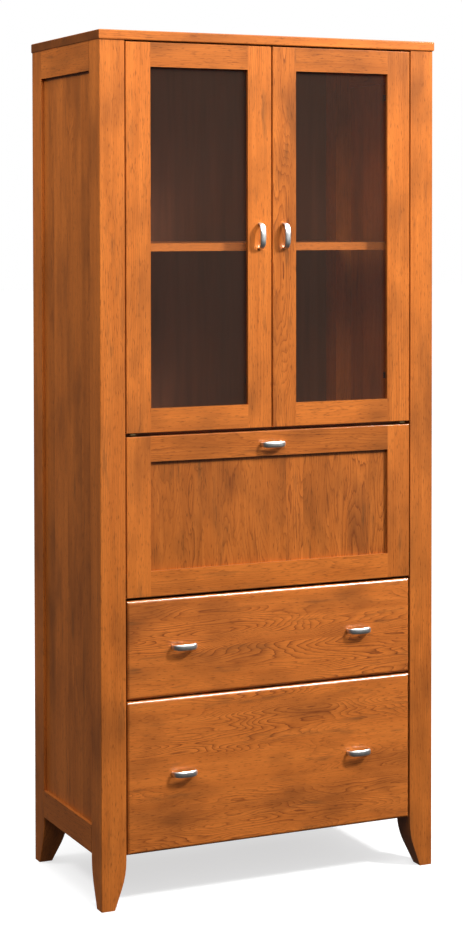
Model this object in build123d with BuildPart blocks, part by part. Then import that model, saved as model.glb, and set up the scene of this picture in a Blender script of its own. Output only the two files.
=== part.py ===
from build123d import *
import os
from math import asin, cos, degrees, hypot, radians, sin, sqrt

# A tall cherry cabinet on four legs: two glass doors above, a drop-front section in the
# middle and two drawers below. Millimetres. +Z is up, the doors face -Y, and the origin
# is on the floor at the middle of the whole envelope, pulls included.

os.makedirs("parts", exist_ok=True)

# ---- driving dimensions ------------------------------------------------------------------

overall_height = 1981.0
case_width = 854.0  # over the legs
case_depth = 446.0  # over the legs

leg_width = 60.0  # across the front
leg_depth = 64.0  # along the side
foot_size = 32.0  # square end of the leg on the floor
taper_height = 78.0  # where the foot's taper starts
taper_radius = 190.0  # blends the taper into the straight leg

top_thickness = 22.0
top_side_overhang = 2.0
top_front_overhang = 4.0
top_edge_radius = 3.0

front_thickness = 20.0  # doors, flap and drawer fronts
side_gap = 3.0  # fronts to legs
door_top_gap = 3.0
door_meeting_gap = 3.2
upper_drawer_height = 225.0
lower_drawer_height = 348.0
flap_height = 364.6
lower_drawer_bottom = 121.0
drawer_gap = 4.1  # between the two drawer fronts
flap_swing_clearance = 1.8  # around the flap's square lower corners as it swings
flap_top_gap = 7.6  # room for the door hinge leaf

door_stile = 60.0
door_rail = 55.0
flap_stile = 59.0
flap_rail = 58.0
side_top_rail = 66.0
side_bottom_rail = 64.0
side_rail_thickness = 22.0
case_underside = 118.5

board_thickness = 18.0
deck_thickness = 20.0
shelf_thickness = 18.0
shelf_top = 1503.4
shelf_setback = 40.0
shelf_side_gap = 1.0
shelf_back_gap = 2.0
back_panel_thickness = 9.0
back_rabbet = 10.0
stop_gap = 1.5  # fronts to the case boards behind them

panel_thickness = 8.0
panel_recess = 8.0  # from the frame's face to the panel's face
groove_depth = 10.0
panel_clearance = 0.25  # on each face of a panel in its groove
panel_end_gap = 1.0  # at the bottom of a groove
joint_clearance = 0.25  # around a tongue in its groove

glass_thickness = 4.0
glass_lip = 8.0  # wood in front of the glass
glass_rabbet = 9.0
glass_edge_gap = 1.5
clip_size = 14.0
clip_plate = 2.0
clip_corner_distance = 55.0

door_edge_radius = 2.0
drawer_edge_radius = 7.0
leg_edge_radius = 2.0

pull_length = 62.0
pull_rise = 22.0
pull_end_rise = 17.0
pull_width = 12.0
pull_metal = 5.0
pull_outer_radius = 9.0
pull_inner_radius = 5.0
pull_edge_radius = 1.2
door_pull_height = 1519.0
door_pull_inset = 30.0  # from the meeting edge to the pull's middle
flap_pull_drop = 31.0  # from the flap's top edge
drawer_pull_spacing = 450.0

leaf_thickness = 2.5
leaf_width = 12.0
leaf_length = 46.0  # beyond the pivot, on the case and on the flap
door_leaf_margin = 7.0  # from a door leaf's end to the glass rabbet
leaf_end = 6.0  # leaf beyond the pivot
washer_gap = 1.5  # under a door, between its two leaves
pivot_radius = 2.5
pivot_clearance = 0.05
door_swing_clearance = 0.3  # between a door's turning corner and the leg

stay_radius = 200.0  # flap axis to the stay's pivot, and to the fixed stud
stay_pivot_offset = 10.0  # behind the flap's inner face
stud_setback = 50.0  # behind the front plane
stay_width = 12.0
stay_metal = 2.5
stud_radius = 3.0
stud_clearance = 0.15
stay_side_clearance = 0.5
flap_opening = 90.0

shelf_pin_radius = 2.5
shelf_pin_length = 20.0
shelf_pin_depth = 10.0
shelf_pin_clearance = 0.1
front_pin_setback = 10.0  # behind the shelf's front edge
back_pin_setback = 32.0  # behind the back leg's front face
pin_hole_pitch = 32.0
pin_holes_each_way = 5

slide_thickness = 12.7
slide_height = 44.0
slide_back_gap = 15.5  # slide to back panel
slide_metal = 1.5
slide_web_gap = 1.2  # between the two members' facing edges and webs
slide_running_gap = 0.3
slide_back_stop = 5.0

drawer_side_thickness = 12.0
drawer_back_gap = 22.0  # drawer box to back panel
drawer_bottom_thickness = 6.0
drawer_bottom_rise = 12.0  # from the box's lower edge to the bottom panel
drawer_groove = 6.0
upper_box_height = 180.0
lower_box_height = 285.0
box_floor_gap = 7.0  # box to the board below it

catch_size = (44.0, 14.0, 12.0)
stop_rail_height = 45.0  # behind the doors, under the top board
stop_rail_thickness = 20.0
stop_rail_end_gap = 1.5  # to the corner of a turning door

# ---- planes and levels worked out from them ----------------------------------------------

front = -(case_depth - pull_rise) / 2
back = front + case_depth
half_width = case_width / 2
half_opening = half_width - leg_width
leg_top = overall_height - top_thickness
front_inner = front + front_thickness
board_front = front_inner + stop_gap
panel_back_face = back - back_panel_thickness
front_leg_back = front + leg_depth
back_leg_front = back - leg_depth

# A square corner turning about the middle of its board reaches this far from the pivot.
corner_reach = front_thickness / sqrt(2)
flap_bottom_gap = corner_reach - front_thickness / 2 + flap_swing_clearance
deck_setback = front_thickness / 2 + corner_reach + flap_swing_clearance

upper_drawer_bottom = lower_drawer_bottom + lower_drawer_height + drawer_gap
flap_bottom = upper_drawer_bottom + upper_drawer_height + flap_bottom_gap
flap_top = flap_bottom + flap_height
door_bottom = flap_top + flap_top_gap
door_top = leg_top - door_top_gap
front_half_width = half_opening - side_gap

deck_top = flap_bottom + front_thickness
floor_top = door_bottom - washer_gap
divider_middle = upper_drawer_bottom - drawer_gap / 2

side_panel_outer = half_width - panel_recess
side_panel_inner = side_panel_outer - panel_thickness
groove_outer = side_panel_outer + panel_clearance
groove_inner = side_panel_inner - panel_clearance

# A door's pivot stands in from its edge until the turning corner, at half the door's
# thickness from the pivot's line, clears the leg.
free_gap = side_gap - door_swing_clearance
pivot_inset = ((front_thickness / 2) ** 2 - free_gap**2) / (2 * free_gap)
pivot_x = front_half_width - pivot_inset
pivot_y = front + front_thickness / 2
door_corner_reach = hypot(pivot_inset, front_thickness / 2)
stop_rail_half = pivot_x - door_corner_reach - stop_rail_end_gap
axis_z = flap_bottom + front_thickness / 2
leaf_y = (pivot_y - leaf_end, pivot_y + leaf_length)
flap_leaf_z = (axis_z - leaf_end, axis_z + leaf_length)
pin_level = shelf_top - shelf_thickness - shelf_pin_radius


# ---- helpers -----------------------------------------------------------------------------

def block(x, y, z, mode=Mode.ADD):
    """A straight piece between two values of X, of Y and of Z, in the part being built."""
    centre = [(pair[0] + pair[1]) / 2 for pair in (x, y, z)]
    size = [abs(pair[1] - pair[0]) for pair in (x, y, z)]
    with Locations(tuple(centre)):
        Box(*size, mode=mode)


def rod(start, length, radius, axis, mode=Mode.ADD):
    """A round bar or hole from a start point, along +X, +Y or +Z, or back if length is negative."""
    turn = {"x": (0, 90, 0), "y": (-90, 0, 0), "z": (0, 0, 0)}[axis]
    step = {"x": (1, 0, 0), "y": (0, 1, 0), "z": (0, 0, 1)}[axis]
    middle = [start[i] + step[i] * length / 2 for i in range(3)]
    with Locations(Location(tuple(middle), turn)):
        Cylinder(radius, abs(length), mode=mode)


def save(builder, name):
    builder.part.label = name
    export_step(builder.part, f"parts/{name}.step")


def plank(name, x, y, z):
    with BuildPart() as piece:
        block(x, y, z)
    save(piece, name)


sides = {"left": -1, "right": 1}

# ---- legs: straight outside, tapered feet on the two inner faces -------------------------


def cut_leg_grooves(side, end_y, inward):
    """The groove for the side panel and the rails' tongues, in the face towards the other leg."""
    x = (side * groove_outer, side * groove_inner)
    y = (end_y, end_y - inward * groove_depth)
    block(x, y, (case_underside, leg_top), mode=Mode.SUBTRACT)


def shelf_pin_levels():
    steps = range(-pin_holes_each_way, pin_holes_each_way + 1)
    return [pin_level + pin_hole_pitch * step for step in steps]


leg_ends = {
    "front": (front, front_leg_back, 1, front + shelf_setback + front_pin_setback),
    "back": (back, back_leg_front, -1, back_leg_front + back_pin_setback),
}

for side_name, side in sides.items():
    for end_name, (outer_y, inner_y, inward, hole_y) in leg_ends.items():
        outer_x = side * half_width
        inner_x = side * half_opening
        with BuildPart() as leg:
            with BuildSketch(Plane.XZ.offset(-outer_y)):
                with BuildLine():
                    Polyline(
                        (outer_x, 0),
                        (outer_x, leg_top),
                        (inner_x, leg_top),
                        (inner_x, taper_height),
                        (outer_x - side * foot_size, 0),
                        close=True,
                    )
                make_face()
                knee = vertices().filter_by(lambda v: abs(v.Y - taper_height) < 1)
                fillet(knee, taper_radius)
            extrude(amount=-inward * leg_depth)
            with BuildSketch(Plane.YZ.offset(min(outer_x, inner_x))):
                with BuildLine():
                    Polyline(
                        (outer_y, 0),
                        (outer_y, leg_top),
                        (inner_y, leg_top),
                        (inner_y, taper_height),
                        (outer_y + inward * foot_size, 0),
                        close=True,
                    )
                make_face()
                knee = vertices().filter_by(lambda v: abs(v.Y - taper_height) < 1)
                fillet(knee, taper_radius)
            extrude(amount=leg_width, mode=Mode.INTERSECT)
            uprights = leg.edges().filter_by(Axis.Z)
            outer_uprights = uprights.filter_by(lambda e: abs(e.center().X - outer_x) < 1)
            fillet(outer_uprights, leg_edge_radius)
            cut_leg_grooves(side, inner_y, inward)
            for level in shelf_pin_levels():
                rod(
                    (inner_x, hole_y, level),
                    side * (shelf_pin_depth + 1),
                    shelf_pin_radius + shelf_pin_clearance,
                    "x",
                    mode=Mode.SUBTRACT,
                )
            if end_name == "back":
                block(
                    (inner_x, side * (half_opening + back_rabbet)),
                    (panel_back_face, back),
                    (case_underside, leg_top),
                    mode=Mode.SUBTRACT,
                )
            if end_name == "front":
                block(
                    (inner_x, side * (half_opening + leaf_thickness)),
                    (pivot_y - leaf_width / 2, pivot_y + leaf_width / 2),
                    flap_leaf_z,
                    mode=Mode.SUBTRACT,
                )
        save(leg, f"leg_{end_name}_{side_name}")

# ---- top board, with two mortises underneath for the door hinges -------------------------

with BuildPart() as top_board:
    block(
        (-half_width - top_side_overhang, half_width + top_side_overhang),
        (front - top_front_overhang, back),
        (leg_top, overall_height),
    )
    rim = top_board.faces().filter_by(Axis.Z).edges()
    fillet(rim.filter_by(lambda e: e.center().Y < back - 1), top_edge_radius)
    for side in sides.values():
        block(
            (side * pivot_x - leaf_width / 2, side * pivot_x + leaf_width / 2),
            leaf_y,
            (leg_top, leg_top + leaf_thickness),
            mode=Mode.SUBTRACT,
        )
save(top_board, "top_board")

# ---- sides: a rail at the top and at the bottom, and a panel held in the grooves ---------

tongue = groove_depth - panel_end_gap
rail_tongue_x = (groove_outer - joint_clearance, groove_inner + joint_clearance)

for side_name, side in sides.items():
    rails = {
        "top": (leg_top - side_top_rail, leg_top, leg_top - side_top_rail, 1),
        "bottom": (case_underside, case_underside + side_bottom_rail, case_underside + side_bottom_rail, -1),
    }
    for level_name, (low, high, grooved_edge, into) in rails.items():
        with BuildPart() as rail:
            block(
                (side * half_width, side * (half_width - side_rail_thickness)),
                (front_leg_back, back_leg_front),
                (low, high),
            )
            block(
                (side * rail_tongue_x[0], side * rail_tongue_x[1]),
                (front_leg_back - tongue, back_leg_front + tongue),
                (low, high),
            )
            block(
                (side * groove_outer, side * groove_inner),
                (front_leg_back - tongue, back_leg_front + tongue),
                (grooved_edge, grooved_edge + into * groove_depth),
                mode=Mode.SUBTRACT,
            )
        save(rail, f"side_{level_name}_rail_{side_name}")
    plank(
        f"side_panel_{side_name}",
        (side * side_panel_outer, side * side_panel_inner),
        (front_leg_back - tongue, back_leg_front + tongue),
        (case_underside + side_bottom_rail - tongue, leg_top - side_top_rail + tongue),
    )

plank(
    "back_panel",
    (-half_opening - back_rabbet + panel_end_gap / 2, half_opening + back_rabbet - panel_end_gap / 2),
    (panel_back_face, back),
    (case_underside, leg_top),
)

# ---- fixed boards: each fits between the legs and reaches the side panels or rails -------


def case_board(name, front_y, low, high, wing_x, hinge_mortises=False):
    with BuildPart() as piece:
        block((-half_opening, half_opening), (front_y, panel_back_face), (low, high))
        block((-wing_x, wing_x), (front_leg_back, back_leg_front), (low, high))
        if hinge_mortises:
            for side in sides.values():
                block(
                    (side * pivot_x - leaf_width / 2, side * pivot_x + leaf_width / 2),
                    leaf_y,
                    (high - leaf_thickness, high),
                    mode=Mode.SUBTRACT,
                )
    save(piece, name)


rail_inner = half_width - side_rail_thickness
case_board("case_bottom", board_front, case_underside, case_underside + board_thickness, rail_inner)
case_board(
    "drawer_divider",
    board_front,
    divider_middle - board_thickness / 2,
    divider_middle + board_thickness / 2,
    side_panel_inner,
)
case_board("desk_deck", front + deck_setback, deck_top - deck_thickness, deck_top, side_panel_inner)
case_board(
    "display_floor", board_front, floor_top - deck_thickness, floor_top, side_panel_inner, hinge_mortises=True
)
plank(
    "top_front_rail",
    (-stop_rail_half, stop_rail_half),
    (board_front, board_front + stop_rail_thickness),
    (leg_top - stop_rail_height, leg_top),
)

# ---- the loose shelf and its four pins ---------------------------------------------------

plank(
    "adjustable_shelf",
    (-half_opening + shelf_side_gap, half_opening - shelf_side_gap),
    (front + shelf_setback, panel_back_face - shelf_back_gap),
    (shelf_top - shelf_thickness, shelf_top),
)

with BuildPart() as shelf_pins:
    for side in sides.values():
        for outer_y, inner_y, inward, hole_y in leg_ends.values():
            rod(
                (side * (half_opening + shelf_pin_depth), hole_y, pin_level),
                -side * shelf_pin_length,
                shelf_pin_radius,
                "x",
            )
save(shelf_pins, "shelf_pins")

# ---- bow pulls: a flat metal strap bent into an arch -------------------------------------


def pulls(name, frames):
    """One pull for each plane: the plane's x runs along the pull and its y out of the face."""
    with BuildPart() as piece:
        half = pull_length / 2
        inner = half - pull_metal
        end = pull_end_rise
        inner_end = pull_end_rise - pull_metal
        for frame in frames:
            with BuildSketch(frame) as bow:
                with BuildLine():
                    ThreePointArc((-half, end), (0, pull_rise), (half, end))
                    Polyline((half, end), (half, 0), (inner, 0), (inner, inner_end))
                    ThreePointArc((inner, inner_end), (0, pull_rise - pull_metal), (-inner, inner_end))
                    Polyline((-inner, inner_end), (-inner, 0), (-half, 0), (-half, end))
                make_face()
                raised = bow.vertices().filter_by(lambda v: frame.to_local_coords(v.center()).Y > 1)
                outside = raised.filter_by(lambda v: abs(frame.to_local_coords(v.center()).X) > half - 1)
                inside = raised.filter_by(lambda v: abs(frame.to_local_coords(v.center()).X) < half - 1)
                fillet(outside, pull_outer_radius)
                fillet(inside, pull_inner_radius)
            extrude(amount=pull_width / 2, both=True)
        flanks = piece.faces().filter_by(Axis(frames[0].origin, frames[0].z_dir)).edges()
        fillet(flanks, pull_edge_radius)
    save(piece, name)


def upright_frame(x, z):
    return Plane(origin=(x, front, z), x_dir=(0, 0, 1), z_dir=(1, 0, 0))


def level_frame(x, z):
    return Plane(origin=(x, front, z), x_dir=(1, 0, 0), z_dir=(0, 0, -1))


# ---- framed fronts: two stiles, two rails ------------------------------------------------


def eased(piece, radius, picks):
    """Round the front edges that lie on the outline of the whole front."""
    edges = piece.edges().filter_by(lambda e: abs(e.center().Y - front) < 0.01)
    fillet(edges.filter_by(picks), radius)


for side_name, side in sides.items():
    outer = side * front_half_width
    inner = side * door_meeting_gap / 2
    stiles = {"hinge_stile": (outer, -side), "meeting_stile": (inner, side)}
    for stile_name, (edge_x, towards_glass) in stiles.items():
        with BuildPart() as stile:
            block(
                (edge_x, edge_x + towards_glass * door_stile),
                (front, front_inner),
                (door_bottom, door_top),
            )
            eased(stile, door_edge_radius, lambda e: abs(e.center().X - edge_x) < door_stile - 1)
            glass_edge = edge_x + towards_glass * door_stile
            block(
                (glass_edge - towards_glass * glass_rabbet, glass_edge),
                (front + glass_lip, front_inner),
                (door_bottom, door_top),
                mode=Mode.SUBTRACT,
            )
            if stile_name == "hinge_stile":
                leaf_reach = door_stile - glass_rabbet - door_leaf_margin
                leaf_x = (side * (pivot_x + leaf_end), outer - side * leaf_reach)
                for low in (door_bottom, door_top - leaf_thickness):
                    block(
                        leaf_x,
                        (pivot_y - leaf_width / 2, pivot_y + leaf_width / 2),
                        (low, low + leaf_thickness),
                        mode=Mode.SUBTRACT,
                    )
        save(stile, f"{side_name}_door_{stile_name}")

    lip_x = (inner + side * door_stile, outer - side * door_stile)
    body_x = (lip_x[0] - side * glass_rabbet, lip_x[1] + side * glass_rabbet)
    rails = {
        "top_rail": (door_top, door_top - door_rail, -1),
        "bottom_rail": (door_bottom, door_bottom + door_rail, 1),
    }
    for rail_name, (outer_z, inner_z, towards_glass) in rails.items():
        with BuildPart() as rail:
            block(lip_x, (front, front + glass_lip), (outer_z, inner_z))
            eased(rail, door_edge_radius, lambda e: abs(e.center().Z - outer_z) < 1)
            block(
                body_x,
                (front + glass_lip, front_inner),
                (outer_z, inner_z - towards_glass * glass_rabbet),
            )
        save(rail, f"{side_name}_door_{rail_name}")

    plank(
        f"{side_name}_door_glass",
        (body_x[0] + side * glass_edge_gap, body_x[1] - side * glass_edge_gap),
        (front + glass_lip, front + glass_lip + glass_thickness),
        (
            door_bottom + door_rail - glass_rabbet + glass_edge_gap,
            door_top - door_rail + glass_rabbet - glass_edge_gap,
        ),
    )

    with BuildPart() as clips:
        clip_levels = (
            door_bottom + door_rail + clip_corner_distance,
            door_top - door_rail - clip_corner_distance,
        )
        clip_edges = ((body_x[0], side), (body_x[1], -side))
        for level in clip_levels:
            for edge_x, towards_glass in clip_edges:
                z = (level - clip_size / 2, level + clip_size / 2)
                lip_end = edge_x + towards_glass * (glass_rabbet - 1)
                screw_end = edge_x - towards_glass * clip_size
                block((screw_end, lip_end), (front_inner, front_inner + clip_plate), z)
                block(
                    (edge_x + towards_glass * clip_plate, lip_end),
                    (front + glass_lip + glass_thickness, front_inner),
                    z,
                )
    save(clips, f"{side_name}_door_glass_clips")

    with BuildPart() as leaves:
        for low in (door_bottom, door_top - leaf_thickness):
            block(
                leaf_x,
                (pivot_y - leaf_width / 2, pivot_y + leaf_width / 2),
                (low, low + leaf_thickness),
            )
            rod(
                (side * pivot_x, pivot_y, low),
                leaf_thickness,
                pivot_radius + pivot_clearance,
                "z",
                mode=Mode.SUBTRACT,
            )
    save(leaves, f"{side_name}_door_hinge_leaves")

    pulls(f"{side_name}_door_pull", [upright_frame(inner + side * door_pull_inset, door_pull_height)])

# ---- hinge leaves on the case: doors turn on upright pins, the flap on level ones --------

with BuildPart() as case_leaves:
    for side in sides.values():
        leaf_x = (side * pivot_x - leaf_width / 2, side * pivot_x + leaf_width / 2)
        block(leaf_x, leaf_y, (leg_top, leg_top + leaf_thickness))
        rod((side * pivot_x, pivot_y, leg_top), -door_top_gap - leaf_thickness, pivot_radius, "z")
        block(leaf_x, leaf_y, (floor_top - leaf_thickness, floor_top))
        rod((side * pivot_x, pivot_y, floor_top), washer_gap + leaf_thickness, pivot_radius, "z")
        block(
            (side * half_opening, side * (half_opening + leaf_thickness)),
            (pivot_y - leaf_width / 2, pivot_y + leaf_width / 2),
            (axis_z - leaf_end, axis_z + leaf_length),
        )
        rod((side * half_opening, pivot_y, axis_z), -side * (side_gap + leaf_thickness), pivot_radius, "x")
save(case_leaves, "case_hinge_leaves")

# ---- drop-front flap: frame, panel flush with the inner face, hinge leaves ---------------

flap_groove_y = (front + panel_recess, front + panel_recess + panel_thickness)

for side_name, side in sides.items():
    outer = side * front_half_width
    panel_edge = outer - side * flap_stile
    with BuildPart() as stile:
        block((outer, panel_edge), (front, front_inner), (flap_bottom, flap_top))
        eased(stile, door_edge_radius, lambda e: abs(e.center().X - outer) < flap_stile - 1)
        block(
            (panel_edge + side * groove_depth, panel_edge),
            (flap_groove_y[0] - panel_clearance, flap_groove_y[1] + panel_clearance),
            (flap_bottom + flap_rail / 2, flap_top - flap_rail / 2),
            mode=Mode.SUBTRACT,
        )
        block(
            (outer, outer - side * leaf_thickness),
            (pivot_y - leaf_width / 2, pivot_y + leaf_width / 2),
            flap_leaf_z,
            mode=Mode.SUBTRACT,
        )
    save(stile, f"flap_stile_{side_name}")

panel_half = front_half_width - flap_stile
rails = {
    "top": (flap_top, flap_top - flap_rail, -1),
    "bottom": (flap_bottom, flap_bottom + flap_rail, 1),
}
for rail_name, (outer_z, inner_z, towards_panel) in rails.items():
    with BuildPart() as rail:
        block((-panel_half, panel_half), (front, front_inner), (outer_z, inner_z))
        eased(rail, door_edge_radius, lambda e: abs(e.center().Z - outer_z) < 1)
        block(
            (-panel_half - tongue, panel_half + tongue),
            flap_groove_y,
            (outer_z + towards_panel * (flap_rail / 2 + panel_end_gap), inner_z),
        )
        block(
            (-panel_half - tongue, panel_half + tongue),
            (flap_groove_y[0] - panel_clearance, flap_groove_y[1] + panel_clearance),
            (inner_z - towards_panel * groove_depth, inner_z),
            mode=Mode.SUBTRACT,
        )
    save(rail, f"flap_{rail_name}_rail")

with BuildPart() as flap_panel:
    block(
        (-panel_half + joint_clearance, panel_half - joint_clearance),
        (flap_groove_y[0], front_inner),
        (flap_bottom + flap_rail + joint_clearance, flap_top - flap_rail - joint_clearance),
    )
    block(
        (-panel_half - tongue, panel_half + tongue),
        flap_groove_y,
        (flap_bottom + flap_rail - tongue, flap_top - flap_rail + tongue),
    )
save(flap_panel, "flap_panel")

with BuildPart() as flap_leaves:
    for side in sides.values():
        outer = side * front_half_width
        block(
            (outer, outer - side * leaf_thickness),
            (pivot_y - leaf_width / 2, pivot_y + leaf_width / 2),
            flap_leaf_z,
        )
        rod(
            (outer, pivot_y, axis_z),
            -side * leaf_thickness,
            pivot_radius + pivot_clearance,
            "x",
            mode=Mode.SUBTRACT,
        )
save(flap_leaves, "flap_hinge_leaves")

pulls("flap_pull", [level_frame(0, flap_top - flap_pull_drop)])

# ---- slotted stays: pivot and stud lie on one circle about the flap's axis, so the arm turns
# through exactly half of the flap's angle while it slides past the stud -------------------

pivot_out = front_thickness / 2 + stay_pivot_offset
stud_out = stud_setback - front_thickness / 2
pivot_rise = sqrt(stay_radius**2 - pivot_out**2)
stud_rise = sqrt(stay_radius**2 - stud_out**2)
pivot_angle = degrees(asin(pivot_out / stay_radius))
stud_angle = degrees(asin(stud_out / stay_radius))
shut_chord = 2 * stay_radius * sin(radians((stud_angle - pivot_angle) / 2))
open_chord = 2 * stay_radius * sin(radians((stud_angle - pivot_angle + flap_opening) / 2))
arm_tilt = (stud_angle + pivot_angle) / 2  # below level, towards the back, when shut

stud_plate = 2.0
arm_outer_x = half_opening - stud_plate - stay_side_clearance
arm_inner_x = arm_outer_x - stay_metal
ear_outer_x = arm_inner_x - stay_side_clearance
ear_inner_x = ear_outer_x - stay_metal
stay_head_radius = 5.0
stay_head = 2.0
plate_half = 12.0
bracket_foot = 14.0

with BuildPart() as stay_arms:
    for side in sides.values():
        arm_plane = Plane(
            origin=(side * arm_outer_x, pivot_y + pivot_out, axis_z + pivot_rise),
            x_dir=(0, cos(radians(arm_tilt)), -sin(radians(arm_tilt))),
            z_dir=(-side, 0, 0),
        )
        slot_length = open_chord - shut_chord
        slot_middle = (open_chord + shut_chord) / 2
        arm_length = open_chord + 2 * stud_radius
        with BuildSketch(arm_plane):
            with Locations((arm_length / 2, 0)):
                SlotCenterToCenter(arm_length, stay_width)
            with Locations((slot_middle, 0)):
                SlotCenterToCenter(slot_length, 2 * (stud_radius + stud_clearance), mode=Mode.SUBTRACT)
            Circle(pivot_radius + pivot_clearance, mode=Mode.SUBTRACT)
        extrude(amount=stay_metal)
save(stay_arms, "stay_arms")

with BuildPart() as stay_studs:
    for side in sides.values():
        stud = (side * half_opening, pivot_y + stud_out, axis_z + stud_rise)
        block(
            (side * half_opening, side * (half_opening - stud_plate)),
            (stud[1] - plate_half, stud[1] + plate_half),
            (stud[2] - plate_half, stud[2] + plate_half),
        )
        rod(stud, side * (ear_outer_x - half_opening), stud_radius, "x")
        rod((side * ear_outer_x, stud[1], stud[2]), -side * stay_head, stay_head_radius, "x")
save(stay_studs, "stay_studs")

with BuildPart() as stay_brackets:
    for side in sides.values():
        pivot = (side * ear_inner_x, pivot_y + pivot_out, axis_z + pivot_rise)
        block(
            (side * ear_outer_x, side * ear_inner_x),
            (front_inner, pivot[1] + stay_width / 2),
            (pivot[2] - stay_width / 2, pivot[2] + stay_width / 2),
        )
        block(
            (side * ear_outer_x, side * (ear_inner_x - bracket_foot)),
            (front_inner, front_inner + stud_plate),
            (pivot[2] - stay_width, pivot[2] + stay_width),
        )
        rod(pivot, side * (arm_outer_x - ear_inner_x), pivot_radius, "x")
save(stay_brackets, "stay_brackets")

# ---- magnet catches behind the doors and the flap ----------------------------------------

with BuildPart() as catches:
    catch_x, catch_y, catch_z = catch_size
    for side in sides.values():
        middle = side * (door_meeting_gap / 2 + door_stile / 2)
        block(
            (middle - catch_x / 2, middle + catch_x / 2),
            (board_front, board_front + catch_y),
            (leg_top - stop_rail_height - catch_z, leg_top - stop_rail_height),
        )
        middle = side * (front_half_width - 2 * flap_stile)
        block(
            (middle - catch_x / 2, middle + catch_x / 2),
            (board_front, board_front + catch_y),
            (floor_top - deck_thickness - catch_z, floor_top - deck_thickness),
        )
save(catches, "magnet_catches")

# ---- drawers: front, two sides, back, bottom in grooves, two pulls, two slide members ----

box_half = half_opening - slide_thickness
divider_top = divider_middle + board_thickness / 2
case_bottom_top = case_underside + board_thickness
drawers = {
    "upper": (upper_drawer_bottom, upper_drawer_height, upper_box_height, divider_top),
    "lower": (lower_drawer_bottom, lower_drawer_height, lower_box_height, case_bottom_top),
}
box_back = panel_back_face - drawer_back_gap
slide_axes = {}

for drawer_name, (front_low, front_height, box_height, board_below) in drawers.items():
    box_low = board_below + box_floor_gap
    box_high = box_low + box_height
    bottom_low = box_low + drawer_bottom_rise
    bottom_z = (bottom_low, bottom_low + drawer_bottom_thickness)
    groove_z = (bottom_z[0] - panel_clearance, bottom_z[1] + panel_clearance)
    inside = box_half - drawer_side_thickness
    groove_x = (-inside - drawer_groove, inside + drawer_groove)
    back_y = (box_back - drawer_side_thickness, box_back)
    slide_axes[drawer_name] = box_low + box_height / 2

    with BuildPart() as drawer_front:
        block(
            (-front_half_width, front_half_width),
            (front, front_inner),
            (front_low, front_low + front_height),
        )
        fillet(drawer_front.faces().sort_by(Axis.Y)[0].edges(), drawer_edge_radius)
        block(groove_x, (front_inner - drawer_groove, front_inner), groove_z, mode=Mode.SUBTRACT)
    save(drawer_front, f"{drawer_name}_drawer_front")

    with BuildPart() as drawer_sides:
        for side in sides.values():
            block((side * box_half, side * inside), (front_inner, box_back), (box_low, box_high))
            block(
                (side * (inside + drawer_groove), side * inside),
                (front_inner, box_back - drawer_groove),
                groove_z,
                mode=Mode.SUBTRACT,
            )
    save(drawer_sides, f"{drawer_name}_drawer_sides")

    with BuildPart() as drawer_back:
        block((-inside, inside), back_y, (box_low, box_high))
        block((-inside, inside), (back_y[0], back_y[0] + drawer_groove), groove_z, mode=Mode.SUBTRACT)
    save(drawer_back, f"{drawer_name}_drawer_back")

    plank(
        f"{drawer_name}_drawer_bottom",
        (groove_x[0] + panel_end_gap / 2, groove_x[1] - panel_end_gap / 2),
        (front_inner - drawer_groove + panel_end_gap / 2, back_y[0] + drawer_groove - panel_end_gap / 2),
        bottom_z,
    )

    pull_z = front_low + front_height / 2
    pull_frames = [level_frame(side * drawer_pull_spacing / 2, pull_z) for side in sides.values()]
    pulls(f"{drawer_name}_drawer_pulls", pull_frames)

slide_y = (board_front, panel_back_face - slide_back_gap)


def channel(side, web_x, lip_x, height, length_y, level):
    """A steel channel: a flat web against its board and two flanges reaching for the other member."""
    inward = 1 if lip_x > web_x else -1
    inner_web = web_x + inward * slide_metal
    block((side * web_x, side * inner_web), length_y, (level - height / 2, level + height / 2))
    for flange in (-1, 1):
        tip = level + flange * height / 2
        block((side * inner_web, side * lip_x), length_y, (tip - flange * slide_metal, tip))


drawer_member_height = slide_height - 2 * (slide_metal + slide_running_gap)

with BuildPart() as case_members:
    for side in sides.values():
        for level in slide_axes.values():
            channel(side, half_opening, box_half + slide_metal + slide_web_gap, slide_height, slide_y, level)
save(case_members, "slide_case_members")

for drawer_name, level in slide_axes.items():
    with BuildPart() as drawer_members:
        for side in sides.values():
            channel(
                side,
                box_half,
                half_opening - slide_metal - slide_web_gap,
                drawer_member_height,
                (slide_y[0], slide_y[1] - slide_back_stop),
                level,
            )
    save(drawer_members, f"{drawer_name}_slide_drawer_members")

print("doors turn about x", pivot_x, "y", pivot_y)
print("flap turns about y", pivot_y, "z", axis_z)
print("stay arms turn about y", pivot_y + pivot_out, "z", axis_z + pivot_rise)
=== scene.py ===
# %% [markdown]
# A tall cherry cabinet: four legs with tapered feet, two glass doors, a drop front and two drawers.
# The parts come from the design model and keep their exact shape and place. What is left to make
# here is their finish, the cast metal pulls, and the studio around them. Everything is in metres,
# with the fronts facing -Y and the floor at Z = 0.

# %% The design model
import math

import bmesh
import bpy
from mathutils import Matrix, Vector


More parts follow.
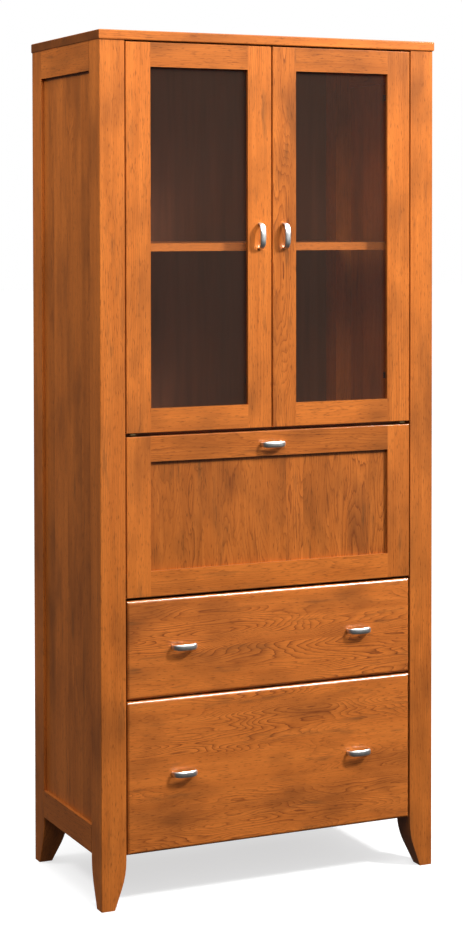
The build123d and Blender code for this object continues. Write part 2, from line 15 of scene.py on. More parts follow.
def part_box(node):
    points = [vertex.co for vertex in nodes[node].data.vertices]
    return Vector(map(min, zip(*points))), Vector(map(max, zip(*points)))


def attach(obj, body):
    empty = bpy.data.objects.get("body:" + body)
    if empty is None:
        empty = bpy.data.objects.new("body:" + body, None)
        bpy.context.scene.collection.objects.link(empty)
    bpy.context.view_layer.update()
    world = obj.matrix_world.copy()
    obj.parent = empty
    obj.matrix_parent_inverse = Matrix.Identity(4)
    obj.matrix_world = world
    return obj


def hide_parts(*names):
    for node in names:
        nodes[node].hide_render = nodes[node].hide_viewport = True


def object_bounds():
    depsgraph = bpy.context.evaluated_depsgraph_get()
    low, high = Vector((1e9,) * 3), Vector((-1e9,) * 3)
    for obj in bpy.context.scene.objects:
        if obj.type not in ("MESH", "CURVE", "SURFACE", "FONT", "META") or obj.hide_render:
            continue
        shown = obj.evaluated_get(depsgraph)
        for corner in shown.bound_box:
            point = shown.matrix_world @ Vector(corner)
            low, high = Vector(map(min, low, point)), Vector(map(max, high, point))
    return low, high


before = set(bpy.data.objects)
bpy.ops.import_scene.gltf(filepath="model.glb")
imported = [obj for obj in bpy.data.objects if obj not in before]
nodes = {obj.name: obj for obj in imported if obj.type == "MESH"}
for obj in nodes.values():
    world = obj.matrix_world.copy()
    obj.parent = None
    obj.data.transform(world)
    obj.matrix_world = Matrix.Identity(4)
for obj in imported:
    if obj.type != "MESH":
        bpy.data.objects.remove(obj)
cad_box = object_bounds()

# %% [markdown]
# Every finish is a small graph of shader nodes, and a few helpers keep it short. start_material
# makes a plain material. put adds a node, and plug fills its sockets: it links a socket that is
# given another node's output, and otherwise writes the value. A number that is the same all over a
# surface goes straight onto the shader's own socket. finish hands a material to a design part.

# %% Helpers for materials
def start_material(name):
    material = bpy.data.materials.new(name)
    material.use_nodes = True
    return material, material.node_tree, material.node_tree.nodes["Principled BSDF"]


def plug(tree, node, values):
    for socket, value in values.items():
        if isinstance(value, bpy.types.NodeSocket):
            tree.links.new(value, node.inputs[socket])
        else:
            node.inputs[socket].default_value = value


def put(tree, kind, values=None, **settings):
    node = tree.nodes.new("ShaderNode" + kind)
    for key, value in settings.items():
        setattr(node, key, value)
    plug(tree, node, values or {})
    return node


def finish(node, material):
    """Gives one design part its material, in every slot that it has."""
    mesh = nodes[node].data
    if not mesh.materials:
        mesh.materials.append(material)
    for index in range(len(mesh.materials)):
        mesh.materials[index] = material


print("material helpers ready for", len(nodes), "design parts")

# %% [markdown]
# Wood, metal and plastic all get their marks from noise. It is worked out in space and not laid on
# as a picture, so it passes through a piece and around its corners. Stretching it gives marks that
# run one way, and a seed moves it elsewhere, so that no two boards are alike.

# %% Helpers for patterns
def sums(tree, operation, first, second=0.0, third=0.0):
    """One step of arithmetic on numbers or sockets."""
    return put(tree, "Math", {0: first, 1: second, 2: third}, operation=operation).outputs[0]


def ramp(tree, factor, stops, interpolation="LINEAR"):
    """A colour ramp from a list of (position, colour) or (position, grey)."""
    node = put(tree, "ValToRGB", {"Fac": factor})
    node.color_ramp.interpolation = interpolation
    elements = node.color_ramp.elements
    while len(elements) < len(stops):
        elements.new(1.0)
    for element, (position, tone) in zip(elements, stops):
        element.position = position
        colour = tone if isinstance(tone, tuple) else (tone, tone, tone)
        element.color = (*colour, 1.0)
    return node.outputs["Color"]


def stretched_noise(tree, place, scale, seed, detail=2.0, roughness=0.5):
    """Noise that changes along each axis as often per metre as its scale says."""
    values = {0: place, 1: scale, 2: (seed, seed * 1.7, seed * 2.3)}
    moved = put(tree, "VectorMath", values, operation="MULTIPLY_ADD").outputs["Vector"]
    values = {"Vector": moved, "Scale": 1.0, "Detail": detail, "Roughness": roughness}
    return put(tree, "TexNoise", values).outputs["Fac"]


def shaded(tree, colour, shade):
    """A colour made lighter or darker by a number."""
    return put(tree, "VectorMath", {0: colour, "Scale": shade}, operation="SCALE").outputs["Vector"]


print("pattern helpers ready")

# %% [markdown]
# Cherry has fine, straight fibres, short dark pitch flecks, soft blotches from the stain, and growth
# rings that show as thin red-brown lines. The lines run along a board on its faces and are cut
# across at its ends. To make that easy, each board first gets a space of its own, turned so that
# one axis always runs with the grain, whichever way the board stands in the cabinet.

# %% The colours and the grain of cherry
LIGHT_CHERRY = (0.640, 0.182, 0.030)
MIDDLE_CHERRY = (0.530, 0.142, 0.022)
RING_CHERRY = (0.200, 0.046, 0.010)
BLOTCH_CHERRY = (0.250, 0.072, 0.015)
FLECK_CHERRY = (0.100, 0.026, 0.007)
MINERAL_CHERRY = (0.170, 0.062, 0.018)
# For each way that grain can run: the axis with the grain, the one across it and the one into it.
AXES = {"x": ("X", "Z", "Y"), "y": ("Y", "Z", "X"), "z": ("Z", "X", "Y"), "z_side": ("Z", "Y", "X")}


def board_space(tree, along):
    """Object coordinates turned so that X runs with the grain, Y across it and Z into it."""
    place = put(tree, "TexCoord").outputs["Object"]
    split = put(tree, "SeparateXYZ", {"Vector": place}).outputs
    length, across, depth = (split[axis] for axis in AXES[along])
    turned = put(tree, "CombineXYZ", {"X": length, "Y": across, "Z": depth}).outputs["Vector"]
    return turned, across, depth


print("cherry from", LIGHT_CHERRY, "to", RING_CHERRY, "grain ways", list(AXES))

# %% [markdown]
# Where a board is cut flat through the tree, its rings open into arches and eyes. Here the rings are
# the contours of one smooth field: a steady slope across the board, plus slow noise that is
# stretched along it. A weak noise gives the straight grain of a stile, and a strong one gives the
# arches of a drawer front. The part after the decimal point rises evenly from each ring to the
# next, and a ramp turns it into pale early wood with a thin dark line of late wood. Another slow
# noise lets the lines fade in and out.

# %% Growth rings
RING_SWAY = 0.40
RING_WOBBLE = 2.0
RING_PROFILE = [(0.0, 0.0), (0.45, 0.10), (0.80, 0.42), (0.93, 1.0), (1.0, 0.08)]
FAINT_RINGS = 0.12


def growth_rings(tree, turned, across, depth, seed, lines, figure, tilt, contrast):
    """Rings as a number: how many per metre, how far they wander, how they slant, how dark."""
    slope = sums(tree, "MULTIPLY", across, lines * math.cos(tilt))
    slope = sums(tree, "MULTIPLY_ADD", depth, lines * math.sin(tilt), slope)
    swirl = stretched_noise(tree, turned, (1.7, 12.0, 12.0), seed, 2.0, 0.42)
    wobble = stretched_noise(tree, turned, (5.0, 70.0, 70.0), seed + 5.0, 3.0)
    field = sums(tree, "MULTIPLY_ADD", swirl, lines * RING_SWAY * figure, slope)
    field = sums(tree, "MULTIPLY_ADD", wobble, RING_WOBBLE, field)
    ring = ramp(tree, sums(tree, "FRACT", field), RING_PROFILE)
    strength = stretched_noise(tree, turned, (2.2, 9.0, 9.0), seed + 9.0)
    strength = ramp(tree, strength, [(0.38, FAINT_RINGS * contrast), (0.62, contrast)])
    return sums(tree, "MULTIPLY", ring, strength)


print("ring profile in", len(RING_PROFILE), "stops")

# %% [markdown]
# A wide panel is glued up from narrower boards. Each comes from another place in the tree, so both
# grain and tone step at the joint. A ramp without blending gives each board one number. The number
# moves the board's pattern to another place in the noise, and also sets its tone.

# %% Glue joints
JOINT_JUMP = 40.0
JOINT_TONE_STEP = 0.22
JOINT_TONE_LOWEST = 0.86


def glue_lines(low, high, shares):
    """The places of a panel's two edges and of the joints between them."""
    return [low + (high - low) * share for share in (0.0, *shares, 1.0)]


def glued_boards(tree, turned, across, seed, joints):
    """The moved pattern space, and the number of the board between each two joints."""
    low, high = joints[0], joints[-1]
    inside = put(tree, "MapRange", {"Value": across, "From Min": low, "From Max": high}).outputs[0]
    shares = [(joint - low) / (high - low) for joint in joints[:-1]]
    steps = [(share, (0.37 * index + 0.11) % 1.0) for index, share in enumerate(shares)]
    board = ramp(tree, inside, steps, "CONSTANT")
    shift = sums(tree, "MULTIPLY_ADD", board, JOINT_JUMP, seed)
    push = put(tree, "CombineXYZ", {"X": shift, "Z": shift}).outputs["Vector"]
    moved = put(tree, "VectorMath", {0: turned, 1: push}, operation="ADD").outputs["Vector"]
    return moved, board


print("tone steps at a joint by up to", JOINT_TONE_STEP)

# %% [markdown]
# The finish is built up as the wood got it. First come the light and dark streaks of the wood, then
# the stain's blotches, the growth rings, the mineral streaks and the pitch flecks, each mixed over
# the last. End grain drinks more stain, so a face that the grain runs into turns darker. It is made
# far darker than stain alone would make it, and that part is painted shade, for end faces such as
# the top board's end, which faces away from the key. The lacquer is the shader's coat, which is a
# thin clear layer over the wood.

# %% Cherry
END_GRAIN_FACING = 0.8
# End grain is darker partly from stain and partly as painted shade for end faces that lie in shade.
END_STAIN_AND_PAINTED_SHADE = 0.66


def mixed_over(tree, colour, amount, target):
    values = {"Factor": amount, 6: colour, 7: (*target, 1.0)}
    return put(tree, "Mix", values, data_type="RGBA").outputs[2]


def end_grain_shade(tree, along):
    """One on the long faces of a board, and less where the grain comes out."""
    facing = put(tree, "TexCoord").outputs["Normal"]
    facing = put(tree, "SeparateXYZ", {"Vector": facing}).outputs[AXES[along][0]]
    end_grain = sums(tree, "GREATER_THAN", sums(tree, "ABSOLUTE", facing), END_GRAIN_FACING)
    return sums(tree, "MULTIPLY_ADD", end_grain, -END_STAIN_AND_PAINTED_SHADE, 1.0)


def cherry(name, along, seed, lines, figure, tone=1.0, tilt=0.62, joints=(), contrast=0.55):
    """Lacquered cherry. tone: how light the board is; joints: the places of its glue lines."""
    material, tree, shader = start_material(name)
    turned, across, depth = board_space(tree, along)
    if joints:
        turned, board = glued_boards(tree, turned, across, seed, joints)
    ring = growth_rings(tree, turned, across, depth, seed, lines, figure, tilt, contrast)
    fibre = stretched_noise(tree, turned, (14.0, 620.0, 620.0), seed + 13.0, 3.0, 0.6)
    streak = stretched_noise(tree, turned, (3.5, 70.0, 70.0), seed + 17.0, 2.0)
    blotch = stretched_noise(tree, turned, (4.2, 9.0, 9.0), seed + 21.0, 2.5, 0.6)
    fleck = stretched_noise(tree, turned, (60.0, 420.0, 420.0), seed + 27.0, 1.5)
    mineral = stretched_noise(tree, turned, (6.0, 42.0, 42.0), seed + 31.0, 3.0, 0.6)
    blotch = ramp(tree, blotch, [(0.46, 0.0), (0.72, 0.54 + 0.34 * contrast)])
    mineral = ramp(tree, mineral, [(0.60, 0.0), (0.76, 0.30 + 0.48 * contrast)])
    fleck = ramp(tree, fleck, [(0.58, 0.0), (0.74, 0.55)])
    colour = ramp(tree, streak, [(0.30, LIGHT_CHERRY), (0.72, MIDDLE_CHERRY)])
    colour = mixed_over(tree, colour, blotch, BLOTCH_CHERRY)
    colour = mixed_over(tree, colour, ring, RING_CHERRY)
    colour = mixed_over(tree, colour, mineral, MINERAL_CHERRY)
    colour = mixed_over(tree, colour, fleck, FLECK_CHERRY)
    shade = sums(tree, "MULTIPLY_ADD", fibre, 0.40 * tone, 0.80 * tone)
    shade = sums(tree, "MULTIPLY", shade, end_grain_shade(tree, along))
    if joints:
        board_tone = sums(tree, "MULTIPLY_ADD", board, JOINT_TONE_STEP, JOINT_TONE_LOWEST)
        shade = sums(tree, "MULTIPLY", shade, board_tone)
    gloss = sums(tree, "MULTIPLY_ADD", fibre, 0.16, 0.30)
    height = sums(tree, "MULTIPLY_ADD", ring, -0.5, fibre)
    bump = put(tree, "Bump", {"Strength": 0.16, "Distance": 0.0004, "Height": height}).outputs[0]
    plug(tree, shader, {"Base Color": shaded(tree, colour, shade), "Roughness": gloss, "Normal": bump})
    plug(tree, shader, {"Specular IOR Level": 0.14, "Coat Weight": 0.50, "Coat Roughness": 0.14})
    return material


print("end grain is darker by", END_STAIN_AND_PAINTED_SHADE)

# %% [markdown]
# A maker chooses each board. Legs and stiles are straight-grained and run upwards, rails run from
# side to side, and the two drawer fronts are the showy, flat-sawn boards. One door stile is bolder
# than its neighbours, as happens in a real batch. Each board also has a tone, a little lighter or
# darker than the rest, and the top rails of the doors and of the flap are a little darker. Two tones
# are painted light and shade: the loose shelf is much the lightest, as painted light for the lamp
# light that reaches it through the glass, and the left bottom side rail is darker, as painted shade
# low on the side of the case.

# %% The boards
SIDES = ("left", "right")
DRAWERS = ("upper", "lower")
UPRIGHT = ["leg_front_left", "leg_front_right", "leg_back_left", "leg_back_right"]
UPRIGHT += ["flap_stile_left", "flap_stile_right"]
UPRIGHT += [f"{side}_door_{part}" for side in SIDES for part in ("hinge_stile", "meeting_stile")]
LEVEL = ["top_board", "case_bottom", "drawer_divider", "desk_deck", "display_floor", "top_front_rail"]
LEVEL += ["adjustable_shelf", "flap_top_rail", "flap_bottom_rail"]
LEVEL += [f"{side}_door_{part}" for side in SIDES for part in ("top_rail", "bottom_rail")]
SIDEWAYS = [f"side_{place}_rail_{side}" for place in ("top", "bottom") for side in SIDES]
FRONTS = [f"{name}_drawer_front" for name in DRAWERS]

STRAIGHT_UPRIGHT = {"lines": 230.0, "figure": 0.10}
BOLD_UPRIGHT = {"lines": 160.0, "figure": 0.55, "contrast": 1.0}
STRAIGHT_RAIL = {"lines": 190.0, "figure": 0.24}
SHOWY_FRONT = {"lines": 170.0, "figure": 0.85, "tilt": 0.25, "contrast": 1.0}
BOLD_BOARD = "right_door_meeting_stile"
# The shelf's high tone is painted light, and the low tone of the left bottom side rail is painted
# shade.
BOARD_TONES_WITH_PAINTED_LIGHT = {
    "adjustable_shelf": 1.46,
    "top_board": 1.08,
    "flap_top_rail": 0.85,
    "flap_bottom_rail": 1.02,
    "left_door_hinge_stile": 1.07,
    "left_door_top_rail": 0.82,
    "left_door_bottom_rail": 1.06,
    "right_door_meeting_stile": 0.93,
    "right_door_top_rail": 0.84,
    "side_bottom_rail_left": 0.84,
    "upper_drawer_front": 1.06,
    "lower_drawer_front": 1.06,
}


def finish_boards(names, along, first_seed, seed_step, cut):
    """Gives each board a cherry of its own, with its own seed and tone."""
    for number, node in enumerate(names):
        own_cut = BOLD_UPRIGHT if node == BOLD_BOARD else cut
        seed = first_seed + seed_step * number
        tone = BOARD_TONES_WITH_PAINTED_LIGHT.get(node, 1.0)
        finish(node, cherry("cherry_" + node, along, seed, tone=tone, **own_cut))


finish_boards(UPRIGHT, "z", 3.1, 7.7, STRAIGHT_UPRIGHT)
finish_boards(LEVEL, "x", 51.3, 6.1, STRAIGHT_RAIL)
finish_boards(SIDEWAYS, "y", 91.9, 5.3, STRAIGHT_RAIL)
finish_boards(FRONTS, "x", 131.7, 17.9, SHOWY_FRONT)
print("boards", len(UPRIGHT) + len(LEVEL) + len(SIDEWAYS) + len(FRONTS))

# %% [markdown]
# The flap's panel and the two side panels are wide, so they are the glued-up ones. The flap shows
# seven boards and each side four. Their widths differ, as they do when a maker uses what the stack
# gives. The side panels face sideways, so the width of their boards runs from front to back.

# %% The panels
FLAP_JOINTS = (0.22, 0.56, 0.63, 0.74, 0.82, 0.91)
SIDE_JOINTS = (0.24, 0.52, 0.78)
FLAP_CUT = {"lines": 110.0, "figure": 0.75, "tone": 0.86, "tilt": 0.2, "contrast": 0.85}
SIDE_CUT = {"lines": 110.0, "figure": 0.60, "tone": 0.97, "tilt": 0.2}

low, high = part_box("flap_panel")
joints = glue_lines(low.x, high.x, FLAP_JOINTS)
finish("flap_panel", cherry("cherry_flap_panel", "z", 171.3, joints=joints, **FLAP_CUT))
for number, side in enumerate(SIDES):
    low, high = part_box(f"side_panel_{side}")
    joints = glue_lines(low.y, high.y, SIDE_JOINTS)
    seed = 201.3 + 11.0 * number
    panel = cherry(f"cherry_side_panel_{side}", "z_side", seed, joints=joints, **SIDE_CUT)
    finish(f"side_panel_{side}", panel)
print("flap panel of", len(FLAP_JOINTS) + 1, "boards, side panels of", len(SIDE_JOINTS) + 1)

# %% [markdown]
# The inside shows less and is plainer. The back is a sheet of veneered plywood with upright grain,
# and the drawer boxes are pale maple, which is hard and wears well. The back is coloured far darker
# than the cherry outside, as painted shade for the dim inside of the case seen through the glass.
# The same kind of stretched noise gives both, in fewer steps and with weaker lines.

# %% The back and the drawer boxes
# Painted shade: the back is far darker than the cherry, so that the inside of the case looks dim.
PAINTED_SHADE_PLY_LIGHT = (0.165, 0.060, 0.027)
PAINTED_SHADE_PLY_DARK = (0.090, 0.033, 0.016)
MAPLE_LIGHT = (0.66, 0.47, 0.27)
MAPLE_DARK = (0.52, 0.34, 0.18)
BOX_PARTS = {"sides": "y", "back": "x", "bottom": "x"}


def plain_wood(name, along, seed, light, dark, lines):
    material, tree, shader = start_material(name)
    turned = board_space(tree, along)[0]
    streak = stretched_noise(tree, turned, (2.0, lines, lines), seed, 3.0, 0.6)
    fibre = stretched_noise(tree, turned, (16.0, 560.0, 560.0), seed + 4.0, 2.0)
    colour = ramp(tree, streak, [(0.32, light), (0.72, dark)])
    shade = sums(tree, "MULTIPLY_ADD", fibre, 0.24, 0.88)
    gloss = sums(tree, "MULTIPLY_ADD", fibre, 0.2, 0.36)
    bump = put(tree, "Bump", {"Strength": 0.12, "Distance": 0.0003, "Height": fibre}).outputs[0]
    plug(tree, shader, {"Base Color": shaded(tree, colour, shade), "Roughness": gloss, "Normal": bump})
    plug(tree, shader, {"Specular IOR Level": 0.10})
    return material


finish("back_panel", plain_wood("cherry_ply_painted_shade", "z", 7.0, PAINTED_SHADE_PLY_LIGHT, PAINTED_SHADE_PLY_DARK, 34.0))
for number, name in enumerate(DRAWERS):
    for part, along in BOX_PARTS.items():
        maple = plain_wood(f"maple_{name}_{part}", along, 11.0 + number, MAPLE_LIGHT, MAPLE_DARK, 26.0)
        finish(f"{name}_drawer_{part}", maple)
print("maple pieces", len(DRAWERS) * len(BOX_PARTS))

# %% [markdown]
# The metals differ in colour and in how they were worked. The pulls are cast and plated with satin
# nickel, so they are soft-edged and slightly mottled. The hinge leaves are brass, drawn along their
# length. The stays and pins are nickel-plated steel, and the slides are zinc-plated, which leaves a
# faint cloudy pattern. One function covers all four, from a stretched noise for the brush marks and
# a round one for the cloud.

# %% Metals
DULL_PLATING = 0.80
BRUSH_DEPTH = 0.0001


def metal(name, colour, roughness, brush, cloud):
    """Plated or drawn metal. brush and cloud: how often the two kinds of mark change per metre."""
    material, tree, shader = start_material(name)
    place = put(tree, "TexCoord").outputs["Object"]
    marks = stretched_noise(tree, place, brush, 3.0, 2.0)
    patches = stretched_noise(tree, place, (cloud, cloud, cloud), 8.0, 3.0, 0.6)
    dull = tuple(channel * DULL_PLATING for channel in colour)
    plating = ramp(tree, patches, [(0.30, dull), (0.70, colour)])
    gloss = sums(tree, "MULTIPLY_ADD", marks, 0.16, roughness - 0.08)
    bump = put(tree, "Bump", {"Strength": 0.10, "Distance": BRUSH_DEPTH, "Height": marks}).outputs[0]
    plug(tree, shader, {"Base Color": plating, "Roughness": gloss, "Normal": bump})
    plug(tree, shader, {"Metallic": 1.0})
    return material


nickel = metal("satin_nickel", (0.74, 0.73, 0.71), 0.34, (900.0, 900.0, 900.0), 160.0)
brass = metal("hinge_brass", (0.72, 0.52, 0.24), 0.30, (400.0, 1500.0, 1500.0), 90.0)
steel = metal("plated_steel", (0.62, 0.62, 0.61), 0.28, (1200.0, 300.0, 1200.0), 120.0)
zinc = metal("zinc_plate", (0.55, 0.57, 0.59), 0.38, (1500.0, 60.0, 1500.0), 40.0)
METAL_PARTS = {
    "case_hinge_leaves": brass,
    "left_door_hinge_leaves": brass,
    "right_door_hinge_leaves": brass,
    "flap_hinge_leaves": brass,
    "shelf_pins": steel,
    "stay_studs": steel,
    "stay_brackets": steel,
    "stay_arms": steel,
    "slide_case_members": zinc,
    "upper_slide_drawer_members": zinc,
    "lower_slide_drawer_members": zinc,
}
for node, plate in METAL_PARTS.items():
    finish(node, plate)
print("metal parts", len(METAL_PARTS), "and the pulls in", nickel.name)

# %% [markdown]
# The clips that hold the glass are black nylon and the magnet catches are brown moulded plastic.
# Moulded plastic has a fine, even grain from the mould, which catches the light in small points,
# and the tops of the grain are also painted lighter, as painted glints.

# %% Plastics
def moulded(name, colour, roughness):
    material, tree, shader = start_material(name)
    place = put(tree, "TexCoord").outputs["Object"]
    pebble = stretched_noise(tree, place, (1400.0, 1400.0, 1400.0), 1.0, 2.0)
    # Painted glints: the tops of the mould grain are given a lighter colour.
    painted_light_colour = tuple(min(1.0, channel * 1.5) for channel in colour)
    skin = ramp(tree, pebble, [(0.35, colour), (0.75, painted_light_colour)])
    gloss = sums(tree, "MULTIPLY_ADD", pebble, 0.2, roughness)
    bump = put(tree, "Bump", {"Strength": 0.2, "Distance": 0.0002, "Height": pebble}).outputs[0]
    plug(tree, shader, {"Base Color": skin, "Roughness": gloss, "Normal": bump})
    return material


nylon = moulded("black_nylon", (0.012, 0.011, 0.011), 0.45)
brown_plastic = moulded("brown_plastic", (0.11, 0.055, 0.030), 0.40)
finish("left_door_glass_clips", nylon)
finish("right_door_glass_clips", nylon)
finish("magnet_catches", brown_plastic)
print("plastics", nylon.name, brown_plastic.name)

# %% [markdown]
# The panes are clear float glass. Transmission bends light as glass does, but it keeps the lamps
# from reaching the shelf behind a pane directly. So the panes let light through with alpha and keep
# their surface gloss. Their colour is painted shade: a thin dark brown film that dims the inside of
# the case seen through them. Real glass is never quite even, so a slow noise varies its roughness,
# and the painted shade a little with it.

# %% Glass
# Painted shade: a dim brown film on the panes that darkens the inside seen through them.
GLASS_PAINTED_SHADE_DEEP = (0.088, 0.050, 0.033)
GLASS_PAINTED_SHADE_PALE = (0.110, 0.065, 0.046)


def float_glass(name):
    material, tree, shader = start_material(name)
    place = put(tree, "TexCoord").outputs["Object"]
    smear = stretched_noise(tree, place, (7.0, 7.0, 3.0), 2.0, 3.0, 0.6)
    gloss = ramp(tree, smear, [(0.40, 0.02), (0.75, 0.05)])
    painted_light_colour = ramp(tree, smear, [(0.30, GLASS_PAINTED_SHADE_DEEP), (0.75, GLASS_PAINTED_SHADE_PALE)])
    plug(tree, shader, {"Roughness": gloss, "Base Color": painted_light_colour, "Alpha": 0.16})
    plug(tree, shader, {"Specular IOR Level": 1.0, "IOR": 1.5})
    return material


glass = float_glass("float_glass")
for side in SIDES:
    finish(f"{side}_door_glass", glass)
print("panes", len(SIDES), "in", glass.name)

# %% [markdown]
# Each pull is a cast bow: it rises steeply from the wood, turns over, and crosses to the other foot
# in a slight arch. Bending a straight bar would kink at the turns, so the middle line is half of a
# superellipse, which is an ellipse pulled towards a rectangle. At each step along it, one function
# gives the centre, the direction outwards and the width, which narrows a little at the feet.

# %% The line of a bow
BOW_STEPS = 40
SQUARENESS = 2.7
BOW_WIDTH = 0.0138
FOOT_NARROWING = 0.24
FOOT_SHORTNESS = 6


def bow_ring(turn, half_length, rise):
    """The centre, the outward direction and the width at one place along the bow."""
    across, up = math.cos(turn), math.sin(turn)
    power = 2.0 / SQUARENESS
    centre = Vector((math.copysign(abs(across) ** power, across) * half_length, up ** power * rise))
    steep = SQUARENESS - 1.0
    normal = Vector((math.copysign((abs(centre.x) / half_length) ** steep, across) / half_length,
                     (centre.y / rise) ** steep / rise)).normalized()
    width = BOW_WIDTH * (1.0 - FOOT_NARROWING * abs(across) ** FOOT_SHORTNESS)
    return centre, normal, width


print("a bow is", round(BOW_WIDTH * 1000, 1), "mm wide in", BOW_STEPS, "steps")

# %% [markdown]
# An oval section follows the line. Its sides are a little fuller than a true oval, as on a casting
# that has been tumbled smooth. Faces join each ring of points to the next, and one face closes each
# foot where it meets the wood.

# %% The skin of a bow
SECTION_POINTS = 20
BOW_THICKNESS = 0.0052
SIDE_FULLNESS = 0.8
BACK_FULLNESS = 0.9


def oval(width):
    """How far each point of the section lies to the side and outwards."""
    points = []
    for point in range(SECTION_POINTS):
        angle = 2 * math.pi * point / SECTION_POINTS
        wide = math.copysign(abs(math.cos(angle)) ** SIDE_FULLNESS, math.cos(angle)) * width / 2
        deep = math.copysign(abs(math.sin(angle)) ** BACK_FULLNESS, math.sin(angle)) * BOW_THICKNESS / 2
        points.append((wide, deep))
    return points


def skin_rings(mesh, rings):
    """Faces between each ring and the next, and one face over each end."""
    for first, second in zip(rings, rings[1:]):
        for point in range(SECTION_POINTS):
            following = (point + 1) % SECTION_POINTS
            mesh.faces.new((first[point], first[following], second[following], second[point]))
    mesh.faces.new(rings[0])
    mesh.faces.new(list(reversed(rings[-1])))
    bmesh.ops.recalc_face_normals(mesh, faces=mesh.faces)


def piece_from(mesh, name):
    """Turns a finished mesh into an object in the scene."""
    data = bpy.data.meshes.new(name)
    mesh.to_mesh(data)
    mesh.free()
    piece = bpy.data.objects.new(name, data)
    bpy.context.scene.collection.objects.link(piece)
    return piece


def bow_pull(name, low, high, upright):
    """A bow between the corners of the design's pull, on the face at its back."""
    middle = (low + high) / 2
    length = (high.z - low.z) if upright else (high.x - low.x)
    half = length / 2 - BOW_THICKNESS / 2
    rise = (high.y - low.y) - BOW_THICKNESS / 2
    along = Vector((0, 0, 1)) if upright else Vector((1, 0, 0))
    side = Vector((1, 0, 0)) if upright else Vector((0, 0, 1))
    out = Vector((0, -1, 0))
    base = Vector((middle.x, high.y, middle.z))
    mesh = bmesh.new()
    rings = []
    for step in range(BOW_STEPS + 1):
        centre, normal, width = bow_ring(math.pi * step / BOW_STEPS, half, rise)
        spot = base + along * centre.x + out * centre.y
        lift = along * normal.x + out * normal.y
        rings.append([mesh.verts.new(spot + side * wide + lift * deep) for wide, deep in oval(width)])
    skin_rings(mesh, rings)
    piece = piece_from(mesh, name)
    piece.data.shade_smooth()
    piece.data.materials.append(nickel)
    return piece


print("a section has", SECTION_POINTS, "points and is", round(BOW_THICKNESS * 1000, 1), "mm thick")

# %% [markdown]
# Seven bows are needed: one upright on each door, and level ones on the flap and the drawers. The
# design's own pulls are plainer, and each gives its bow a place and a length. A drawer's two pulls
# are one design part, so its points are first parted into a left and a right half. Every bow rides
# on the body that it is fixed to, so it moves with its door, flap or drawer.

# %% The seven pulls
def split_pair(node):
    """The two ends of a pair of pulls: the left half and the right half of the node's points."""
    points = [vertex.co for vertex in nodes[node].data.vertices]
    halves = []
    for sign in (-1, 1):
        own = [point for point in points if point.x * sign > 0]
        low = Vector([min(point[axis] for point in own) for axis in range(3)])
        high = Vector([max(point[axis] for point in own) for axis in range(3)])
        halves.append((low, high))
    return halves


pulls = []
for side in SIDES:
    pull = bow_pull(f"{side}_door_bow", *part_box(f"{side}_door_pull"), upright=True)
    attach(pull, f"{side}_door")
    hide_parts(f"{side}_door_pull")
    pulls.append(pull)
pull = bow_pull("flap_bow", *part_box("flap_pull"), upright=False)
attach(pull, "flap")
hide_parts("flap_pull")
pulls.append(pull)
for name in DRAWERS:
    for side, (low, high) in zip(SIDES, split_pair(f"{name}_drawer_pulls")):
        pull = bow_pull(f"{name}_drawer_{side}_bow", low, high, upright=False)
        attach(pull, f"{name}_drawer")
        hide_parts(f"{name}_drawer_pulls")
        pulls.append(pull)
print("pulls", [pull.name for pull in pulls])

# %% [markdown]
# The studio is plain: a pale floor that runs on past the view, and white all round. The floor glows
# a little by itself, which keeps it near white, and its paint is grey, so that the soft shadow under
# the case still shows on it. It lights nothing and is not seen in gloss, because a bright floor
# would fill the shade under the rails.

# %% The floor
FLOOR_REACH = 40.0
FLOOR_DROP = 0.0005
FLOOR_TONE = (0.50, 0.50, 0.50, 1.0)
FLOOR_GLOW = 0.64
WHITE = (1.0, 1.0, 1.0, 1.0)


def make_floor():
    mesh = bmesh.new()
    bmesh.ops.create_grid(mesh, x_segments=2, y_segments=2, size=FLOOR_REACH)
    floor = piece_from(mesh, "studio_floor")
    floor.location.z = cad_box[0].z - FLOOR_DROP
    material, tree, shader = start_material("pale_floor")
    plug(tree, shader, {"Base Color": FLOOR_TONE, "Roughness": 0.9, "Specular IOR Level": 0.0})
    plug(tree, shader, {"Emission Color": WHITE, "Emission Strength": FLOOR_GLOW})
    floor.data.materials.append(material)
    floor.visible_diffuse = False
    floor.visible_glossy = False


make_floor()
print("floor reaches", FLOOR_REACH, "m each way")

# %% [markdown]
# A wide, soft overhead sun leaves the shadow under the case. The key is a small, strong lamp, high
# in front on the right, which gives the fronts their warmth and each pull a short shadow. Two weak
# fills lift the doors and the side of the case that faces away from the key. No lamp is itself in
# view.

# %% The lamps
def lamp(name, kind, place, target, energy, **settings):
    """A lamp at a place, turned so that it shines at a target."""
    data = bpy.data.lights.new(name, kind)
    data.energy = energy
    for key, value in settings.items():
        setattr(data, key, value)
    light = bpy.data.objects.new(name, data)
    light.location = place
    light.visible_camera = False
    bpy.context.scene.collection.objects.link(light)
    light.rotation_euler = (Vector(target) - light.location).to_track_quat("-Z", "Y").to_euler()
    return light


lamp("overhead", "SUN", (0.5, -0.7, 4.0), (0.0, 0.0, 0.0), 2.5, angle=math.radians(120))
lamp("key", "AREA", (2.3, -2.4, 3.4), (0.0, -0.2, 1.3), 170.0, shape="DISK", size=0.6)
lamp("front_fill", "AREA", (-0.5, -1.7, 2.8), (-0.2, -0.2, 1.6), 27.0, shape="DISK", size=1.3)
lamp("side_fill", "AREA", (-2.1, 0.3, 3.1), (-0.42, 0.1, 1.8), 33.0, shape="DISK", size=0.8)

# %% [markdown]
# Lacquer and nickel also show what stands around them, so a studio sets up white cards. Here a card
# is a lamp that is left out of the matt light and shows in gloss and metal only. A broad, weak one
# stands in front. A strong one hangs close above the front and draws the bright line along the
# rounded top edge of a drawer front. It would bleach the level boards, so light linking gives it to
# the drawer fronts and the pulls alone.

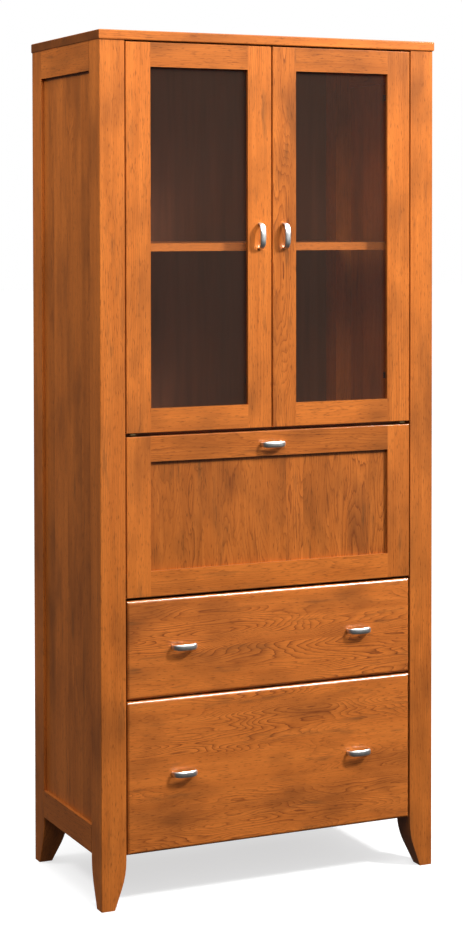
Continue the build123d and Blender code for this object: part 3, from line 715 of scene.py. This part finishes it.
# %% The cards
def card(name, place, target, energy, width, height):
    light = lamp(name, "AREA", place, target, energy, shape="RECTANGLE", size=width, size_y=height)
    light.visible_diffuse = False
    return light


card("front_card", (2.6, -4.2, 1.6), (0.0, -0.2, 1.3), 8.0, 4.4, 3.0)
edge_card = card("edge_card", (1.4, -0.95, 3.2), (0.2, -0.2, 0.6), 560.0, 1.4, 1.1)
edge_group = bpy.data.collections.new("edge_card_group")
for node in FRONTS:
    edge_group.objects.link(nodes[node])
for pull in pulls:
    edge_group.objects.link(pull)
edge_card.light_linking.receiver_collection = edge_group

# %% [markdown]
# The world around the studio has two strengths. The camera sees it as plain white, but it lights
# the cabinet only weakly. At full strength it would wash out the shade between the boards.

# %% The world
WORLD_SEEN = 1.0
WORLD_LIGHT = 0.05

world = bpy.data.worlds.new("studio")
bpy.context.scene.world = world
world.use_nodes = True
tree = world.node_tree
tree.nodes.clear()
seen = put(tree, "Background", {"Color": WHITE, "Strength": WORLD_SEEN})
lit = put(tree, "Background", {"Color": WHITE, "Strength": WORLD_LIGHT})
direct = put(tree, "LightPath").outputs["Is Camera Ray"]
mixed = put(tree, "MixShader", {0: direct, 1: lit.outputs[0], 2: seen.outputs[0]})
put(tree, "OutputWorld", {"Surface": mixed.outputs[0]})
bpy.context.scene.view_settings.view_transform = "Standard"
print("world", world.name, "lights at", WORLD_LIGHT)

# %% [markdown]
# The camera stands to the left and a little below the top of the cabinet, about five metres away,
# and looks across the front from about 25 degrees. It is almost level, so the uprights stay
# upright, and a lens shift brings the feet into the frame, as a view camera would.

# %% The camera
CAMERA_PLACE = Vector((-2.129, -4.589, 1.553))
CAMERA_TURN = math.radians(24.83)
CAMERA_DIP = math.radians(1.674)
CAMERA_ROLL = math.radians(-0.08)
LENS = 80.26
LENS_SHIFT = -0.2002
SENSOR_WIDTH = 36.0

camera_data = bpy.data.cameras.new("camera")
camera_data.lens = LENS
camera_data.sensor_width = SENSOR_WIDTH
camera_data.shift_y = LENS_SHIFT
camera = bpy.data.objects.new("camera", camera_data)
bpy.context.scene.collection.objects.link(camera)
camera.location = CAMERA_PLACE
level = Matrix.Rotation(-CAMERA_TURN, 3, "Z") @ Matrix.Rotation(math.pi / 2 - CAMERA_DIP, 3, "X")
camera.rotation_euler = (level @ Matrix.Rotation(CAMERA_ROLL, 3, "Z")).to_euler()
bpy.context.scene.camera = camera
print("camera at", tuple(round(value, 3) for value in CAMERA_PLACE), "lens", LENS)

# %% [markdown]
# Last, the box around the design is printed.

# %% Finish
print("design", [tuple(round(v, 4) for v in corner) for corner in cad_box])
